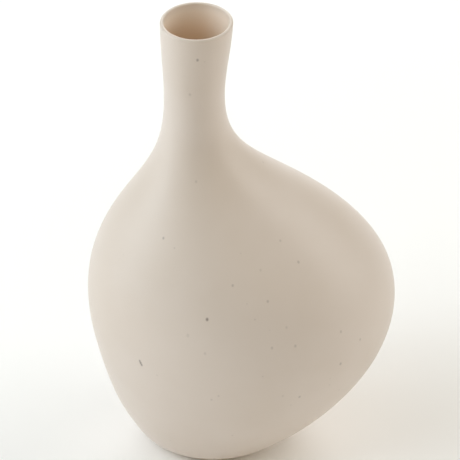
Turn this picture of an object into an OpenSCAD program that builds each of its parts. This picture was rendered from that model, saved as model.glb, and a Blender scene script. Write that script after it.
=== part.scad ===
// Stoneware bottle vase: a broad, slightly flattened belly under a slim neck that stands off to one side.
// X runs left to right, Y runs front to back, and the vase stands on Z = 0.
// The origin is under the middle of the whole vase. All lengths are in millimetres.

/* [Body] */
// Overall height, from the underside of the pads to the top of the lip
vase_h = 300; // [270:1:330]
// Width of the belly's control ring, left to right; the finished belly is about 1 % narrower
belly_w = 190; // [160:1:210]
// Depth of the belly, front to back, as a share of its width
belly_depth = 0.86; // [0.75:0.01:1]

/* [Neck] */
// How far the middle of the neck stands to the left of the origin
neck_shift = 28; // [10:1:34]
// Outer width at the waist of the neck
neck_w = 34; // [28:0.5:42]
// Outer width at the mouth
mouth_w = 42; // [34:0.5:50]
// Depth of the mouth, front to back, as a share of its width
mouth_depth = 1.03; // [0.95:0.01:1.1]

/* [Foot] */
// Width of the foot, left to right, where the glaze stops
foot_w = 78; // [66:1:90]
// Width of the flat ring that the vase stands on
foot_ring = 10; // [9:0.5:14]
// Depth of the hollow under the base, inside the foot ring
foot_hollow = 3; // [2:0.25:3.5]

/* [Wall] */
// Thickness at the lip, glaze included
lip_wall = 2.1; // [1.8:0.1:4]
// Thickness at the belly and the floor, glaze included
belly_wall = 4.6; // [4:0.1:6]
// Thickness of each coat of glaze
glaze = 0.4; // [0.3:0.05:0.6]
// How far down inside the mouth the outer glaze reaches before the liner glaze takes over
glaze_turn = 8; // [4:1:16]

/* [Pads] */
// Diameter of each felt pad
pad_d = 8; // [6:0.5:9]
// Thickness of each felt pad
pad_t = 1.5; // [1:0.25:2]

/* [Hidden] */

// Facets round the vase, rows for each span between two control rings, and steps over the lip
sides = 48;
rows = 2;
lip_steps = 6;
pad_fn = 48;

belly_r = belly_w / 2;
neck_r = neck_w / 2;
foot_r = foot_w / 2;
mouth_r = mouth_w / 2;

// Control rings from the foot to the lip: [height, centre towards the neck's side, half width].
// Heights are shares of vase_h and centres are shares of neck_shift.
// The vase's surface is the smooth cubic spline that these rings pull along.
rings = [
    [0.012, 0.62, foot_r],
    [0.024, 0.62, 0.505 * belly_r],
    [0.054, 0.49, 0.59 * belly_r],
    [0.121, 0.30, 0.755 * belly_r],
    [0.222, 0.05, 0.91 * belly_r],
    [0.329, -0.02, belly_r],
    [0.437, 0.02, 0.98 * belly_r],
    [0.531, 0.27, 0.79 * belly_r],
    [0.605, 0.54, 0.56 * belly_r],
    [0.672, 0.82, 0.34 * belly_r],
    [0.753, 0.98, 1.09 * neck_r],
    [0.854, 1, neck_r],
    [0.948, 0.95, 0.97 * mouth_r],
    [1, 0.93, mouth_r]
];
last = len(rings) - 1;

// Below narrow_r the vase is round in plan, and from broad_r up it has the belly's full flattening
narrow_r = 22;
broad_r = 60;
function smooth(x) = let (t = min(1, max(0, x))) t * t * (3 - 2 * t);
function roundness(r) = 1 - (1 - belly_depth) * smooth((r - narrow_r) / (broad_r - narrow_r));

// From neck_top of the height up, the neck takes on the mouth's own depth
neck_top = 0.9;
function depth_share(h, r) = h > neck_top ? mouth_depth : roundness(r);

// Each ring in millimetres: [height, centre x, half width, half depth]. The lip's round top adds
// half a wall above the last ring.
lip_top = vase_h - lip_wall / 2;
control = [for (r = rings)
    [r[0] * lip_top, -r[1] * neck_shift, r[2], r[2] * depth_share(r[0], r[2])]];
padded = concat([2 * control[0] - control[1]], control, [2 * control[last] - control[last - 1]]);

// Weights of the four control rings around a place t of the way along a span, and their rates of change
function weights(t) = [pow(1 - t, 3), 3 * t * t * t - 6 * t * t + 4,
                       -3 * t * t * t + 3 * t * t + 3 * t + 1, pow(t, 3)] / 6;
function rates(t) = [-pow(1 - t, 2), 3 * t * t - 4 * t, -3 * t * t + 2 * t + 1, pow(t, 2)] / 2;

// The spline's ring at u, which runs from 0 at the foot to last at the lip, and its rate of change there
function span(u) = min(floor(u), last - 1);
function nearby(u) = [for (k = [0:3]) padded[span(u) + k]];
function ring(u) = weights(u - span(u)) * nearby(u);
function growth(u) = rates(u - span(u)) * nearby(u);

// Directions on the surface at ring u and angle a: up along it, and straight out of it
function unit(v) = v / norm(v);
function uphill(u, a) = let (s = growth(u)) unit([s[1] + s[2] * cos(a), s[3] * sin(a), s[0]]);
function outward(u, a) = let (r = ring(u)) unit(cross([-r[2] * sin(a), r[3] * cos(a), 0], uphill(u, a)));

// A point that lies depth under the outside of the vase
function under(u, a, depth) = let (r = ring(u))
    [r[1] + r[2] * cos(a), r[3] * sin(a), r[0]] - depth * outward(u, a);

// The wall thickens from the lip to the belly
function wall(u) = lip_wall + (belly_wall - lip_wall) * smooth((ring(u)[2] - narrow_r) / (broad_r - narrow_r));

// Loops of points round the vase. inset is how far a loop lies below the glazed face.
angles = [for (k = [0:sides - 1]) k * 360 / sides];
function outside(inset) = [for (u = [0:1 / rows:last]) [for (a = angles) under(u, a, inset)]];
function lip(inset) = let (r = lip_wall / 2 - inset)
    [for (b = [1:lip_steps - 1]) [for (a = angles) under(last, a, lip_wall / 2)
        + r * cos(b * 180 / lip_steps) * outward(last, a)
        + r * sin(b * 180 / lip_steps) * uphill(last, a)]];
function inside(inset, top, bottom) =
    [for (u = [top:-1 / rows:bottom]) [for (a = angles) under(u, a, wall(u) - inset)]];
function flat_loop(rx, ry, z) = [for (a = angles) [foot_x + rx * cos(a), ry * sin(a), z]];

// The foot: a flat ring under the base, with a rounded outer edge and a hollow inside it
foot_x = control[0][1];
foot_ry = control[0][3];
foot_edge = 1;
foot_bevel = 0.3;
hollow_z = pad_t + foot_hollow;
function foot_loops() = [
    flat_loop(foot_r - foot_ring - 1.5 * foot_edge, foot_ry - foot_ring - 1.5 * foot_edge, hollow_z),
    flat_loop(foot_r - foot_ring - foot_edge, foot_ry - foot_ring - foot_edge, pad_t),
    flat_loop(foot_r - foot_edge, foot_ry - foot_edge, pad_t),
    flat_loop(foot_r - foot_bevel, foot_ry - foot_bevel, pad_t + foot_edge)
];

// The floor inside: a flat disc that the wall runs into
floor_share = 0.85;
floor_z = control[0][0] + belly_wall;
function floor_loops(inset) = [flat_loop(foot_r * floor_share, foot_ry * floor_share, floor_z - inset)];
function floor_pole(inset) = [foot_x, 0, floor_z - inset];

// Where the two glazes meet inside the neck: the row of the spline nearest to glaze_turn below the lip
meet = last - max(1, round(glaze_turn * rows / (control[last][0] - control[last - 1][0]))) / rows;

// Closes the loops into one solid. The first turned rows run back down the surface that they cover,
// and split their quads the other way, so that two solids that touch share the same triangles.
// With no poles, the last loop is joined to the first.
module skin(loops, turned = 0, poles = []) {
    n = sides;
    m = len(loops);
    rows_made = len(poles) == 0 ? m : m - 1;
    quads = [for (j = [0:rows_made - 1]) for (k = [0:n - 1])
        let (a = j * n + k, b = j * n + (k + 1) % n,
             c = ((j + 1) % m) * n + (k + 1) % n, d = ((j + 1) % m) * n + k)
        each (j < turned - 1 ? [[d, b, a], [d, c, b]] : [[c, b, a], [d, c, a]])];
    caps = len(poles) == 0 ? [] : [for (k = [0:n - 1])
        each [[m * n, k, (k + 1) % n], [m * n + 1, (m - 1) * n + (k + 1) % n, (m - 1) * n + k]]];
    polyhedron(concat([for (l = loops) each l], poles), concat(quads, caps), convexity = 6);
}
function reversed(list) = [for (i = [len(list) - 1:-1:0]) list[i]];

module stoneware_body() {
    color("#b9a78d")
        skin(concat(foot_loops(), outside(glaze), lip(glaze), inside(glaze, last, 0), floor_loops(glaze)),
             poles = [[foot_x, 0, hollow_z], floor_pole(glaze)]);
}

module outer_glaze() {
    front = concat(outside(0), lip(0), inside(0, last, meet));
    back = concat(outside(glaze), lip(glaze), inside(glaze, last, meet));
    color("#e2dbce") skin(concat(reversed(back), front), turned = len(back));
}

module inner_glaze() {
    front = concat(inside(0, meet, 0), floor_loops(0));
    back = concat(inside(glaze, meet, 0), floor_loops(glaze));
    color("#a98f72")
        skin(concat(reversed(back), front), turned = len(back), poles = [floor_pole(glaze), floor_pole(0)]);
}

// The pads sit in the middle of the foot ring, one in each quarter
module foot_pad(quarter) {
    mid = foot_edge + foot_ring / 2;
    a = 45 + 90 * quarter;
    color("#5b5751")
        translate([foot_x + (foot_r - mid) * cos(a), (foot_ry - mid) * sin(a), 0])
            cylinder(h = pad_t, d = pad_d, $fn = pad_fn);
}

stoneware_body();
outer_glaze();
inner_glaze();
foot_pad(0);  // foot_pad_1
foot_pad(1);  // foot_pad_2
foot_pad(2);  // foot_pad_3
foot_pad(3);  // foot_pad_4
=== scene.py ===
import math

import bmesh
import bpy
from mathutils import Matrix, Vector


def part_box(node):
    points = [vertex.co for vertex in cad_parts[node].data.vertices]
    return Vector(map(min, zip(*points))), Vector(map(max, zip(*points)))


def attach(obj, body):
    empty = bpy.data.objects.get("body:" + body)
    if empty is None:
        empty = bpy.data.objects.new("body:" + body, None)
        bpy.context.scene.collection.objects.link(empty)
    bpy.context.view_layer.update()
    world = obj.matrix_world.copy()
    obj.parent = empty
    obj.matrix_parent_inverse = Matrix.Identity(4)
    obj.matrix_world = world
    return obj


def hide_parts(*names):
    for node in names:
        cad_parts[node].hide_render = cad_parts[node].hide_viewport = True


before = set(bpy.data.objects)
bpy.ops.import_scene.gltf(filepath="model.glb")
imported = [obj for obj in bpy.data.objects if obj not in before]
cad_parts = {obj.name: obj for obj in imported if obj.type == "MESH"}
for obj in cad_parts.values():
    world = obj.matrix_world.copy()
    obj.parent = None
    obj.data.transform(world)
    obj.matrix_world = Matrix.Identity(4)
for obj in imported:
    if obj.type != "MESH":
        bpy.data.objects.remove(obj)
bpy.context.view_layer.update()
print("frame loaded:", ", ".join(sorted(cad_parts)))


# small helpers for working the way one does at the screen

def startEdit(piece):
    bpy.ops.object.select_all(action="DESELECT")
    piece.select_set(True)
    bpy.context.view_layer.objects.active = piece
    bpy.ops.object.mode_set(mode="EDIT")
    bpy.ops.mesh.select_all(action="DESELECT")


def stopEdit():
    bpy.ops.object.mode_set(mode="OBJECT")


def pickFaces(piece, wanted):
    bpy.ops.mesh.select_mode(type="FACE")
    bpy.ops.mesh.select_all(action="DESELECT")
    mesh = bmesh.from_edit_mesh(piece.data)
    for face in mesh.faces:
        if wanted(face):
            face.select_set(True)
    bmesh.update_edit_mesh(piece.data)


def pickEdges(piece, wanted):
    bpy.ops.mesh.select_mode(type="EDGE")
    bpy.ops.mesh.select_all(action="DESELECT")
    mesh = bmesh.from_edit_mesh(piece.data)
    for edge in mesh.edges:
        if wanted(edge):
            edge.select_set(True)
    bmesh.update_edit_mesh(piece.data)


def applyModifiers(piece):
    bpy.ops.object.select_all(action="DESELECT")
    piece.select_set(True)
    bpy.context.view_layer.objects.active = piece
    for modifier in list(piece.modifiers):
        bpy.ops.object.modifier_apply(modifier=modifier.name)


def copyPiece(piece, name):
    bpy.ops.object.select_all(action="DESELECT")
    piece.select_set(True)
    bpy.context.view_layer.objects.active = piece
    bpy.ops.object.duplicate()
    twin = bpy.context.active_object
    twin.name = name
    twin.data.name = name
    return twin


def easeBetween(value, low, high):
    share = min(1.0, max(0.0, (value - low) / (high - low)))
    return share * share * (3 - 2 * share)


# the vase's own form, its heights taken from the frame's coats of glaze and pads

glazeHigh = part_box("outer_glaze")[1]
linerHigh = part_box("inner_glaze")[1]
padBoxes = [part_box("foot_pad_%d" % (i + 1)) for i in range(4)]

form = {
    "aroundCount": 32,  # control points round each ring
    "smoothLevel": 3,
    "neckShift": 0.028,  # the neck stands this far to the left
    "bellyHalf": 0.095,
    "neckHalf": 0.017,
    "mouthHalf": 0.021,
    "mouthDepth": 1.03,  # depth of the mouth as a share of its width
    "neckTop": 0.9,  # share of the height from which the neck takes the mouth's depth
    "footHalf": 0.039,
    "flatten": 0.86,  # depth of the belly as a share of its width
    "narrow": 0.022,  # round in plan up to this half width
    "broad": 0.060,  # fully flattened from this half width on
    "lipWall": 0.0021,
    "bellyWall": 0.0046,
    "thinFrom": 0.57,  # share of the height from which the wall thins towards the lip
    "thinBy": 0.71,  # and at which it is as thin as the lip
    "glaze": 0.0004,
    "lipOuterRound": 0.0012,
    "lipInnerRound": 0.0008,
    "lipSteps": 6,
    "creaseAngle": 40,  # edges sharper than this stay sharp
}

# control rings from the foot up: share of the height, share of neckShift, half width
ringTop = glazeHigh.z - form["lipWall"] / 2
belly, neck, mouth = form["bellyHalf"], form["neckHalf"], form["mouthHalf"]
rings = [
    (0.012, 0.62, form["footHalf"]),
    (0.024, 0.62, 0.505 * belly),
    (0.054, 0.49, 0.59 * belly),
    (0.121, 0.30, 0.755 * belly),
    (0.222, 0.05, 0.91 * belly),
    (0.329, -0.02, belly),
    (0.437, 0.02, 0.98 * belly),
    (0.531, 0.27, 0.79 * belly),
    (0.605, 0.54, 0.56 * belly),
    (0.672, 0.82, 0.34 * belly),
    (0.753, 0.98, 1.09 * neck),
    (0.854, 1.0, neck),
    (0.948, 0.95, 0.97 * mouth),
    (glazeHigh.z / ringTop, 0.93, mouth),
]


def ringSize(ring):
    height, shift, halfWidth = ring
    if height > form["neckTop"]:
        return halfWidth, halfWidth * form["mouthDepth"]
    flat = easeBetween(halfWidth, form["narrow"], form["broad"])
    return halfWidth, halfWidth * (1 - (1 - form["flatten"]) * flat)


def ringPlace(ring):
    return Vector((-ring[1] * form["neckShift"], 0, ring[0] * ringTop))


def atLip(place):
    return place.z > form["neckTop"] * ringTop


def wallWeight(height):
    thin = easeBetween(height, form["thinFrom"] * ringTop, form["thinBy"] * ringTop)
    return 1 - thin * (1 - form["lipWall"] / form["bellyWall"])


def drawRings():
    # a circle for the foot, extruded from ring to ring; smoothing pulls a ring of points inwards a
    # little, so each one is drawn that much larger
    spread = 3 / (2 + math.cos(2 * math.pi / form["aroundCount"]))
    bpy.ops.object.select_all(action="DESELECT")
    wide, deep = ringSize(rings[0])
    bpy.ops.mesh.primitive_circle_add(vertices=form["aroundCount"], radius=wide * spread,
                                      fill_type="NOTHING", location=ringPlace(rings[0]))
    skin = bpy.context.active_object
    skin.name = "vaseSkin"
    bpy.ops.object.transform_apply(location=True, rotation=True, scale=True)
    bpy.ops.object.mode_set(mode="EDIT")
    bpy.ops.mesh.select_all(action="SELECT")
    bpy.ops.transform.resize(value=(1, deep / wide, 1), center_override=ringPlace(rings[0]))
    for below, above in zip(rings, rings[1:]):
        step = ringPlace(above) - ringPlace(below)
        bpy.ops.mesh.extrude_region_move(TRANSFORM_OT_translate={"value": step})
        wideBelow, deepBelow = ringSize(below)
        wideAbove, deepAbove = ringSize(above)
        bpy.ops.transform.resize(value=(wideAbove / wideBelow, deepAbove / deepBelow, 1),
                                 center_override=ringPlace(above))
    bpy.ops.mesh.select_all(action="SELECT")
    bpy.ops.mesh.normals_make_consistent(inside=False)
    stopEdit()
    return skin


def raiseWall(skin):
    smooth = skin.modifiers.new("smooth", "SUBSURF")
    smooth.levels = form["smoothLevel"]
    smooth.render_levels = form["smoothLevel"]
    applyModifiers(skin)
    group = skin.vertex_groups.new(name="wall")
    for vert in skin.data.vertices:
        group.add([vert.index], wallWeight(vert.co.z), "REPLACE")
    for name in ("outside", "inside", "edge"):
        skin.data.materials.append(bpy.data.materials.new(name))
    wall = skin.modifiers.new("wall", "SOLIDIFY")
    wall.thickness = form["bellyWall"]
    wall.offset = -1
    wall.vertex_group = group.name
    wall.use_even_offset = True
    wall.material_offset = 1
    wall.material_offset_rim = 2
    applyModifiers(skin)


def roundLip(skin):
    # a little more on the outside than on the inside
    for side, offset in ((0, form["lipOuterRound"]), (1, form["lipInnerRound"])):
        startEdit(skin)
        pickEdges(skin, lambda edge: atLip(edge.verts[0].co)
                  and sorted(face.material_index for face in edge.link_faces) == [side, 2])
        bpy.ops.mesh.bevel(offset=offset, segments=form["lipSteps"], profile=0.5,
                           affect="EDGES", clamp_overlap=True)
        stopEdit()


def stepRing(centre, sizeBefore, sizeAfter, rise):
    # one more ring of wall or floor from the ring that is selected
    bpy.ops.mesh.extrude_region_move(TRANSFORM_OT_translate={"value": (0, 0, rise)})
    bpy.ops.transform.resize(value=(sizeAfter[0] / sizeBefore[0], sizeAfter[1] / sizeBefore[1], 1),
                             center_override=centre)


foot = {
    "floorRise": 0.0045,  # the floor inside stands this far above the lowest ring
    "floorRings": (0.94, 0.86, 0.6, 0.3, 0.08),  # rings across the floor, as shares of the lowest ring
    "edgeSplit": 0.002,  # above the lowest ring: the wall's inner edge is higher, its outer edge lower
    "turnIn": 0.0003,  # the wall draws in this far
    "turnDrop": 0.0009,  # over this height below the glaze
    "ringInset": 0.0004,  # outside of the foot ring, in from the lowest ring
    "ring": 0.010,  # width of the ring that the vase stands on
    "ringEdge": 0.001,
    "hollow": 0.003,  # height of the hollow under the base
    "hollowInset": 0.0018,  # the hollow's edge, in from the foot ring
    "hollowRings": (0.016, 0.026, 0.034),
    "outerRound": 0.0008,
    "innerRound": 0.0009,
    "hollowRound": 0.0007,
    "roundSteps": 4,
    "levelSlack": 0.00002,  # points this close to a level count as on it
    "ringSlack": 0.004,  # and this close to a ring, as a share of its size
    "hollowSlack": 0.0001,
}


def closeFloor(skin):
    centre = ringPlace(rings[0])
    wide, deep = ringSize(rings[0])
    floorTop = centre.z + foot["floorRise"]
    startEdit(skin)
    pickFaces(skin, lambda face: face.material_index == 2 and not atLip(face.calc_center_median()))
    bpy.ops.mesh.delete(type="FACE")
    pickEdges(skin, lambda edge: edge.is_boundary and edge.verts[0].co.z > centre.z + foot["edgeSplit"])
    size = (wide, deep)
    for number, share in enumerate(foot["floorRings"]):
        stepRing((centre.x, 0, floorTop), size, (wide * share, deep * share), 0)
        size = (wide * share, deep * share)
        if number == 0:
            bpy.ops.transform.resize(value=(1, 1, 0), center_override=(centre.x, 0, floorTop))
    bpy.ops.mesh.merge(type="CENTER")
    stopEdit()


def onRing(place, centre, halfWidth, halfDepth, level):
    across = math.hypot((place.x - centre.x) / halfWidth, place.y / halfDepth)
    return abs(place.z - level) < foot["levelSlack"] and abs(across - 1) < foot["ringSlack"]


def buildFoot(skin):
    # from the glaze line down to the ring that it stands on, and up into the hollow under the base
    centre = ringPlace(rings[0])
    wide, deep = ringSize(rings[0])
    ground = padBoxes[0][1].z
    hollowTop = ground + foot["hollow"]
    ringInner = foot["ring"] + foot["ringEdge"]
    hollowEdge = foot["ring"] + foot["hollowInset"]
    steps = [(foot["turnIn"], centre.z - foot["turnDrop"]), (foot["ringInset"], ground),
             (ringInner, ground), (hollowEdge, hollowTop)]
    steps += [(inset, hollowTop) for inset in foot["hollowRings"]]
    startEdit(skin)
    pickEdges(skin, lambda edge: edge.is_boundary and edge.verts[0].co.z < centre.z + foot["edgeSplit"])
    size, height = (wide, deep), centre.z
    for inset, level in steps:
        after = (wide - inset, deep - inset)
        stepRing((centre.x, 0, level), size, after, level - height)
        size, height = after, level
    bpy.ops.mesh.merge(type="CENTER")
    pickFaces(skin, lambda face: face.calc_center_median().z < centre.z
              or (face.calc_center_median().z < hollowTop + foot["hollowSlack"]
                  and (face.calc_center_median() - centre).length < wide - foot["ring"]))
    skin.active_material_index = 2
    bpy.ops.object.material_slot_assign()
    for level, inset, width in ((ground, foot["ringInset"], foot["outerRound"]),
                                (ground, ringInner, foot["innerRound"]),
                                (hollowTop, hollowEdge, foot["hollowRound"])):
        pickEdges(skin, lambda edge: all(onRing(vert.co, centre, wide - inset, deep - inset, level)
                                         for vert in edge.verts))
        bpy.ops.mesh.bevel(offset=width, segments=foot["roundSteps"], profile=0.5,
                           affect="EDGES", clamp_overlap=True)
    bpy.ops.mesh.select_all(action="SELECT")
    bpy.ops.mesh.remove_doubles(threshold=0.000001)
    bpy.ops.mesh.normals_make_consistent(inside=False)
    stopEdit()


vaseSkin = drawRings()
raiseWall(vaseSkin)
roundLip(vaseSkin)
closeFloor(vaseSkin)
buildFoot(vaseSkin)
print("vase form drawn:", len(vaseSkin.data.polygons), "faces")


def markInside(piece):
    # remembers which faces look into the vase, for the painted light and shade inside the neck
    inside = piece.data.attributes.new("inside", "FLOAT", "FACE")
    for polygon in piece.data.polygons:
        inside.data[polygon.index].value = 1 if polygon.material_index == 1 else 0


def keepFaces(piece, wanted):
    startEdit(piece)
    pickFaces(piece, lambda face: not wanted(face))
    bpy.ops.mesh.delete(type="FACE")
    stopEdit()


def smoothFaces(angle):
    bpy.ops.object.shade_smooth_by_angle(angle=math.radians(angle))


def coat(piece):
    # a skin of glaze gets its thickness inwards, into the clay
    solid = piece.modifiers.new("coat", "SOLIDIFY")
    solid.thickness = form["glaze"]
    solid.offset = -1
    solid.use_even_offset = True
    applyModifiers(piece)
    smoothFaces(form["creaseAngle"])


def makeCoats(skin):
    # material slots of the skin: 0 outside, 1 inside, 2 the lip's edge and the bare foot
    meeting = linerHigh.z
    outerCoat = copyPiece(skin, "outerGlaze")
    keepFaces(outerCoat, lambda face: face.calc_center_median().z > meeting if face.material_index == 1
              else face.material_index == 0 or atLip(face.calc_center_median()))
    coat(outerCoat)
    innerCoat = copyPiece(skin, "innerGlaze")
    keepFaces(innerCoat, lambda face: face.material_index == 1 and face.calc_center_median().z <= meeting)
    coat(innerCoat)
    body = copyPiece(skin, "stonewareBody")
    startEdit(body)
    pickFaces(body, lambda face: face.material_index != 2 or atLip(face.calc_center_median()))
    bpy.ops.transform.shrink_fatten(value=-form["glaze"], use_even_offset=True)
    stopEdit()
    smoothFaces(form["creaseAngle"])
    return outerCoat, innerCoat, body


markInside(vaseSkin)
outerGlaze, innerGlaze, stonewareBody = makeCoats(vaseSkin)
bpy.data.objects.remove(vaseSkin)
print("coats and clay parted")


# felt pads, each a little pillow of pressed wool under the foot ring

felt = {
    "segments": 48,
    "edge": 0.0003,  # rounding of the pad's edges
    "edgeSteps": 3,
    "edgeFullness": 0.6,
    "capInsets": (0.25, 0.3),  # rings set into the round ends, as shares of the radius
    "creaseAngle": 50,
    "dark": (0.12, 0.10, 0.085),
    "light": (0.26, 0.23, 0.20),
    "fibreScale": 2600,
    "fibreDepth": 0.0004,
    "sheen": 0.4,
}


def makePad(number, low, high):
    wide = (high.x - low.x) / 2
    thick = high.z - low.z
    middle = (low + high) / 2
    bpy.ops.object.select_all(action="DESELECT")
    bpy.ops.mesh.primitive_cylinder_add(vertices=felt["segments"], radius=wide, depth=thick,
                                        end_fill_type="NGON", location=middle)
    pad = bpy.context.active_object
    pad.name = "footPad%d" % number
    bpy.ops.object.transform_apply(location=True, rotation=True, scale=True)
    startEdit(pad)
    pickEdges(pad, lambda edge: abs(edge.verts[0].co.z - edge.verts[1].co.z) < thick / 2)
    bpy.ops.mesh.bevel(offset=felt["edge"], segments=felt["edgeSteps"], profile=felt["edgeFullness"],
                       affect="EDGES")
    pickFaces(pad, lambda face: len(face.verts) == felt["segments"])
    for share in felt["capInsets"]:
        bpy.ops.mesh.inset(thickness=share * wide, depth=0)
    stopEdit()
    smoothFaces(felt["creaseAngle"])
    return pad


footPads = [makePad(i + 1, low, high) for i, (low, high) in enumerate(padBoxes)]
print("pads made")


# materials

def newMaterial(name):
    material = bpy.data.materials.new(name)
    material.use_nodes = True
    nodes = material.node_tree.nodes
    return material, nodes, material.node_tree.links, nodes["Principled BSDF"]


def objectCoords(nodes):
    return nodes.new("ShaderNodeTexCoord").outputs["Object"]


def noise(nodes, links, coords, scale, detail, roughness=0.5):
    node = nodes.new("ShaderNodeTexNoise")
    node.inputs["Scale"].default_value = scale
    node.inputs["Detail"].default_value = detail
    node.inputs["Roughness"].default_value = roughness
    links.new(coords, node.inputs["Vector"])
    return node.outputs["Fac"]


def remap(nodes, links, value, fromLow, fromHigh, toLow, toHigh, smooth=False):
    node = nodes.new("ShaderNodeMapRange")
    if smooth:
        node.interpolation_type = "SMOOTHSTEP"
    sockets = ("From Min", "From Max", "To Min", "To Max")
    for name, number in zip(sockets, (fromLow, fromHigh, toLow, toHigh)):
        node.inputs[name].default_value = number
    links.new(value, node.inputs["Value"])
    return node.outputs["Result"]


def mixColours(nodes, links, share, first, second):
    # first and second are colours or the outputs of nodes
    node = nodes.new("ShaderNodeMix")
    node.data_type = "RGBA"
    links.new(share, node.inputs[0])
    for socket, colour in ((node.inputs[6], first), (node.inputs[7], second)):
        if isinstance(colour, tuple):
            socket.default_value = (*colour, 1)
        else:
            links.new(colour, socket)
    return node.outputs[2]


def mathNode(nodes, links, operation, first, second):
    node = nodes.new("ShaderNodeMath")
    node.operation = operation
    for socket, value in ((node.inputs[0], first), (node.inputs[1], second)):
        if isinstance(value, (int, float)):
            socket.default_value = value
        else:
            links.new(value, socket)
    return node.outputs[0]


def bump(nodes, links, height, distance, strength, below=None):
    node = nodes.new("ShaderNodeBump")
    node.inputs["Distance"].default_value = distance
    node.inputs["Strength"].default_value = strength
    links.new(height, node.inputs["Height"])
    if below is not None:
        links.new(below, node.inputs["Normal"])
    return node.outputs["Normal"]


cream = {
    "light": (0.70, 0.60, 0.523),
    "deep": (0.67, 0.566, 0.48),
    "iron": (0.12, 0.08, 0.062),
    "run": 1.35,  # height of a speck as a share of its width
    "speckCore": 0.25,  # a speck is at its darkest out to this share of its radius
    "speckFade": 1.15,  # and gone by this one
    "faintScale": 70,  # the faint specks: cells to the metre, radius and strength
    "faintRadius": 0.0007,
    "faintStrength": 0.16,
    "driftScale": 11,
    "sheenScale": 60,
    "roughness": (0.44, 0.52),
    "specular": 0.5,
    "coat": 0.8,
    "coatRoughness": 0.48,
    "swell": (45, 2, 0.002, 0.12),  # scale, detail, height and strength
    "grain": (700, 3, 0.0002, 0.25),
}

# inside the neck the glaze is painted paler near the lip, painted light where the lamps reach the inner
# wall, then warmer with depth as painted shade, on the outer coat's turn-in and on the inner coat alike
neckLightAndShade = {
    "near": (0.88, 0.77, 0.66),
    "far": (0.76, 0.56, 0.39),
    "startsAbove": 0.003,  # the change starts this far above the lip
    "nearBy": 0.006,  # depth below the lip at which the paler tone, painted light, is reached
    "farBy": 0.024,  # and the warmer one, painted shade
    "litWallBy": 0.017,  # the painted shade falls off from the neck's middle to this far right of it, where the inner wall is lit
    "litWallShare": 0.25,  # and this share of it is left there
}

# iron specks in the glaze: degrees round the vase from its right side, height in mm, size in mm, strength
ironSpecks = [
    (-135, 101, 2.0, 0.6), (-134.7, 99.8, 2.2, 0.7), (-134.3, 98.6, 2.0, 0.65), (-103.4, 141, 2.2, 0.68),
    (-87, 287, 2.0, 0.5), (-128, 177, 1.8, 0.4), (-48, 164, 2.1, 0.3), (-73, 150, 1.9, 0.28),
    (-88, 159, 1.8, 0.3), (-47, 100, 2.1, 0.35), (-46, 123, 1.9, 0.25), (-37, 111, 1.9, 0.25),
    (-67, 123, 1.9, 0.25), (-77, 124, 1.9, 0.22), (-64, 82, 2.0, 0.32), (-49, 175, 1.8, 0.22),
    (-97, 262, 2.0, 0.18), (-95, 208, 1.8, 0.18), (6, 200, 1.8, 0.18), (-70, 165, 1.8, 0.14),
    (-69, 135, 1.8, 0.16), (-105.4, 120, 2.0, 0.16), (-113, 130, 2.4, 0.13), (-103, 84, 1.8, 0.18),
    (-100, 88, 1.8, 0.16), (-72, 86, 1.8, 0.14),
]


def ringCentre(height):
    for below, above in zip(rings, rings[1:]):
        if height <= above[0] * ringTop:
            share = (height - below[0] * ringTop) / ((above[0] - below[0]) * ringTop)
            return ringPlace(below).lerp(ringPlace(above), share)
    return ringPlace(rings[-1])


def onGlaze(piece, degrees, height):
    turn = math.radians(degrees)
    start = ringCentre(height)
    start.z = height
    outwards = Vector((math.cos(turn), math.sin(turn), 0))
    found, place, normal, index = piece.ray_cast(start + outwards * 0.3, -outwards)
    return place


def speckMask(nodes, links, coords, piece):
    # taller than wide, because specks ran down a little while the glaze was wet
    squeeze = Vector((1, 1, 1 / cream["run"]))
    squeezed = nodes.new("ShaderNodeMapping")
    squeezed.inputs["Scale"].default_value = squeeze
    links.new(coords, squeezed.inputs["Vector"])
    mask = None
    for degrees, height, size, strength in ironSpecks:
        centre = onGlaze(piece, degrees, height / 1000) * squeeze
        away = nodes.new("ShaderNodeVectorMath")
        away.operation = "DISTANCE"
        links.new(squeezed.outputs["Vector"], away.inputs[0])
        away.inputs[1].default_value = centre
        radius = size / 1000 / 2
        spot = remap(nodes, links, away.outputs["Value"], cream["speckCore"] * radius,
                     cream["speckFade"] * radius, strength, 0, smooth=True)
        mask = spot if mask is None else mathNode(nodes, links, "MAXIMUM", mask, spot)
    return mask


def scatteredSpecks(nodes, links, coords, scale, radius, strength):
    cells = nodes.new("ShaderNodeTexVoronoi")
    cells.inputs["Scale"].default_value = scale
    links.new(coords, cells.inputs["Vector"])
    return remap(nodes, links, cells.outputs["Distance"], 0.4 * radius * scale, 1.2 * radius * scale,
                 strength, 0, smooth=True)


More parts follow.
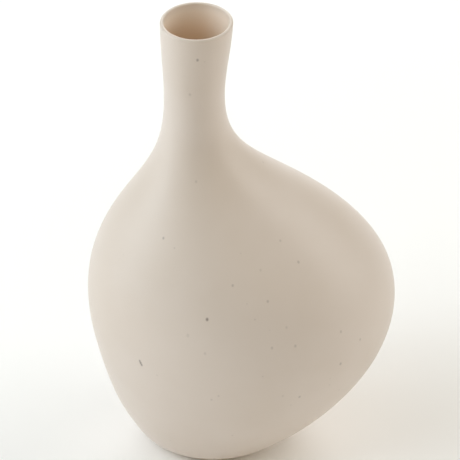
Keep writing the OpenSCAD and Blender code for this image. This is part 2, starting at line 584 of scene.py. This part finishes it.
def glazeToneAndNeckShade(nodes, links, coords):
    cloud = noise(nodes, links, coords, cream["driftScale"], 3)
    drift = remap(nodes, links, cloud, 0.35, 0.65, 0, 1, smooth=True)
    outerTone = mixColours(nodes, links, drift, cream["light"], cream["deep"])
    # inside the neck: painted light near the lip and painted warm shade with depth, less of it on the lit
    # right wall
    place = nodes.new("ShaderNodeSeparateXYZ")
    links.new(coords, place.inputs[0])
    lip = glazeHigh.z
    enter = remap(nodes, links, place.outputs["Z"], lip + neckLightAndShade["startsAbove"], lip - neckLightAndShade["nearBy"],
                  0, 1, smooth=True)
    shadeWithDepth = remap(nodes, links, place.outputs["Z"], lip, lip - neckLightAndShade["farBy"], 0, 1, smooth=True)
    neckX = ringPlace(rings[-1]).x
    warm = remap(nodes, links, place.outputs["X"], neckX, neckX + neckLightAndShade["litWallBy"], 1, neckLightAndShade["litWallShare"],
                 smooth=True)
    paintedShade = mathNode(nodes, links, "MULTIPLY", shadeWithDepth, warm)
    paintedNeckTone = mixColours(nodes, links, paintedShade, neckLightAndShade["near"], neckLightAndShade["far"])
    inside = nodes.new("ShaderNodeAttribute")
    inside.attribute_name = "inside"
    share = mathNode(nodes, links, "MULTIPLY", enter, inside.outputs["Fac"])
    return mixColours(nodes, links, share, outerTone, paintedNeckTone)


def glazeSurface(nodes, links, coords, shader):
    # satin-matt, with a slow swell and a fine grain
    sheen = noise(nodes, links, coords, cream["sheenScale"], 4)
    links.new(remap(nodes, links, sheen, 0.3, 0.7, *cream["roughness"]), shader.inputs["Roughness"])
    shader.inputs["Specular IOR Level"].default_value = cream["specular"]
    shader.inputs["Coat Weight"].default_value = cream["coat"]
    shader.inputs["Coat Roughness"].default_value = cream["coatRoughness"]
    normal = None
    for scale, detail, distance, strength in (cream["swell"], cream["grain"]):
        height = noise(nodes, links, coords, scale, detail)
        normal = bump(nodes, links, height, distance, strength, normal)
    links.new(normal, shader.inputs["Normal"])


def makeCreamGlaze(piece):
    material, nodes, links, shader = newMaterial("creamGlaze")
    coords = objectCoords(nodes)
    faint = scatteredSpecks(nodes, links, coords, cream["faintScale"], cream["faintRadius"],
                            cream["faintStrength"])
    specks = mathNode(nodes, links, "MAXIMUM", speckMask(nodes, links, coords, piece), faint)
    # on the turn-in inside the neck this tone is painted light and shade
    tone = glazeToneAndNeckShade(nodes, links, coords)
    links.new(mixColours(nodes, links, specks, tone, cream["iron"]), shader.inputs["Base Color"])
    glazeSurface(nodes, links, coords, shader)
    return material


def makeLinerGlaze():
    material, nodes, links, shader = newMaterial("linerGlaze")
    coords = objectCoords(nodes)
    # its colour is all painted light and shade inside the neck
    links.new(glazeToneAndNeckShade(nodes, links, coords), shader.inputs["Base Color"])
    glazeSurface(nodes, links, coords, shader)
    return material


clay = {
    "light": (0.56, 0.44, 0.32),
    "deep": (0.44, 0.33, 0.23),
    "grit": (0.20, 0.13, 0.09),
    "gritScale": 260,
    "gritRadius": 0.0003,
    "gritStrength": 0.7,
    "roughness": 0.9,
    "driftScale": 90,
    "turningScale": 160,  # rings left by turning on the wheel
    "turningWaver": 1.5,
    "markDepth": 0.0002,
    "sandScale": 1500,
}


def makeClay(centre):
    material, nodes, links, shader = newMaterial("bareStoneware")
    coords = objectCoords(nodes)
    drift = remap(nodes, links, noise(nodes, links, coords, clay["driftScale"], 5), 0.3, 0.7, 0, 1)
    tone = mixColours(nodes, links, drift, clay["light"], clay["deep"])
    grit = scatteredSpecks(nodes, links, coords, clay["gritScale"], clay["gritRadius"],
                           clay["gritStrength"])
    links.new(mixColours(nodes, links, grit, tone, clay["grit"]), shader.inputs["Base Color"])
    shader.inputs["Roughness"].default_value = clay["roughness"]
    centred = nodes.new("ShaderNodeMapping")
    centred.inputs["Location"].default_value = (-centre.x, 0, 0)
    links.new(coords, centred.inputs["Vector"])
    turning = nodes.new("ShaderNodeTexWave")
    turning.wave_type = "RINGS"
    turning.rings_direction = "Z"
    turning.inputs["Scale"].default_value = clay["turningScale"]
    turning.inputs["Distortion"].default_value = clay["turningWaver"]
    turning.inputs["Detail"].default_value = 2
    links.new(centred.outputs["Vector"], turning.inputs["Vector"])
    marks = bump(nodes, links, turning.outputs["Fac"], clay["markDepth"], 0.35)
    grains = noise(nodes, links, coords, clay["sandScale"], 4, 0.7)
    sand = bump(nodes, links, grains, clay["markDepth"], 0.6, marks)
    links.new(sand, shader.inputs["Normal"])
    return material


def makeFelt():
    material, nodes, links, shader = newMaterial("woolFelt")
    coords = objectCoords(nodes)
    fibres = noise(nodes, links, coords, felt["fibreScale"], 6, 0.75)
    links.new(mixColours(nodes, links, fibres, felt["dark"], felt["light"]), shader.inputs["Base Color"])
    shader.inputs["Roughness"].default_value = 1
    shader.inputs["Sheen Weight"].default_value = felt["sheen"]
    links.new(bump(nodes, links, fibres, felt["fibreDepth"], 0.9), shader.inputs["Normal"])
    return material


def dress(piece, material):
    piece.data.materials.clear()
    piece.data.materials.append(material)
    for polygon in piece.data.polygons:
        polygon.material_index = 0


dress(outerGlaze, makeCreamGlaze(outerGlaze))
dress(innerGlaze, makeLinerGlaze())
dress(stonewareBody, makeClay(ringPlace(rings[0])))
feltMaterial = makeFelt()
for pad in footPads:
    dress(pad, feltMaterial)
print("materials on")

parts = [
    (outerGlaze, "outer_glaze", "cream_matt_glaze"),
    # the inner coat's tan look is painted shade and light inside the neck
    (innerGlaze, "inner_glaze", "tan_liner_glaze"),
    (stonewareBody, "stoneware_body", "bare_stoneware"),
]
parts += [(pad, "foot_pad_%d" % (i + 1), "felt") for i, pad in enumerate(footPads)]
for piece, node, finish in parts:
    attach(piece, "root")
    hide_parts(node)


# the studio: a pale floor, soft light and the camera

studio = {
    "floorSize": 12,
    "floorTone": (0.92, 0.92, 0.92),
    "floorGlow": (0.044, 0.031, 0.015),  # a faint warm light of its own
    "floorRoughness": 0.9,
    "floorSpecular": 0.1,
    "worldTone": (0.99, 1.0, 0.90),
    "worldStrength": 0.295,
    "lampDistance": 1.95,
    "elevation": 36,  # degrees that the camera looks down
    "distance": 1.6,
    "lens": 208,
    "sensor": 36,
    "clipStart": 0.05,
    "aim": (-0.007, 0, 0.153),
}

# soft panels round the vase, all looking at its middle: name, degrees round from the right side,
# degrees up, width, height, watts, tone
lamps = [
    ("backPanel", 90, 19, 1.3, 1.0, 15.5, (1.0, 1.0, 1.0)),
    ("leftPanel", 180, 19, 1.3, 1.0, 11, (0.86, 0.94, 1.0)),
    ("highLeftPanel", 202, 42, 1.3, 1.3, 12, (0.88, 0.95, 1.0)),
    ("highRightPanel", 22, 42, 1.3, 1.3, 9.5, (1.0, 1.0, 0.99)),
    ("rightPanel", 0, 19, 1.3, 1.0, 6.5, (1.0, 0.99, 0.96)),
    ("highBackPanel", 158, 42, 1.3, 1.3, 6, (0.86, 0.93, 1.0)),
    ("frontFill", 292, 42, 1.3, 1.3, 4, (1.0, 0.84, 0.66)),
    ("windowStrip", 194, 10, 0.3, 0.6, 1.5, (0.50, 0.78, 1.0)),
]


def makeLamp(name, turn, rise, width, height, watts, tone):
    turn, rise = math.radians(turn), math.radians(rise)
    towards = Vector((math.cos(rise) * math.cos(turn), math.cos(rise) * math.sin(turn), math.sin(rise)))
    aim = Vector(studio["aim"])
    bpy.ops.object.light_add(type="AREA", location=aim + towards * studio["lampDistance"])
    lamp = bpy.context.active_object
    lamp.name = name
    lamp.data.shape = "RECTANGLE"
    lamp.data.size = width
    lamp.data.size_y = height
    lamp.data.energy = watts
    lamp.data.color = tone
    lamp.rotation_euler = (-towards).to_track_quat("-Z", "Y").to_euler()
    lamp.visible_camera = False


def makeFloor():
    bpy.ops.mesh.primitive_plane_add(size=studio["floorSize"], location=(0, 0, 0))
    floor = bpy.context.active_object
    floor.name = "paleFloor"
    material, nodes, links, shader = newMaterial("palePaper")
    shader.inputs["Base Color"].default_value = (*studio["floorTone"], 1)
    shader.inputs["Roughness"].default_value = studio["floorRoughness"]
    shader.inputs["Specular IOR Level"].default_value = studio["floorSpecular"]
    shader.inputs["Emission Color"].default_value = (*studio["floorGlow"], 1)
    shader.inputs["Emission Strength"].default_value = 1
    dress(floor, material)


def makeCamera():
    tilt = math.radians(studio["elevation"])
    aim = Vector(studio["aim"])
    back = Vector((0, -math.cos(tilt), math.sin(tilt)))
    bpy.ops.object.camera_add(location=aim + back * studio["distance"])
    camera = bpy.context.active_object
    camera.rotation_euler = (-back).to_track_quat("-Z", "Y").to_euler()
    camera.data.lens = studio["lens"]
    camera.data.sensor_width = studio["sensor"]
    camera.data.clip_start = studio["clipStart"]
    bpy.context.scene.camera = camera


def makeWorld():
    world = bpy.data.worlds.new("studioAir")
    world.use_nodes = True
    air = world.node_tree.nodes["Background"]
    air.inputs["Color"].default_value = (*studio["worldTone"], 1)
    air.inputs["Strength"].default_value = studio["worldStrength"]
    bpy.context.scene.world = world
    bpy.context.scene.view_settings.view_transform = "Standard"


bpy.ops.object.select_all(action="DESELECT")
makeFloor()
for lamp in lamps:
    makeLamp(*lamp)
makeWorld()
makeCamera()
print("studio ready")
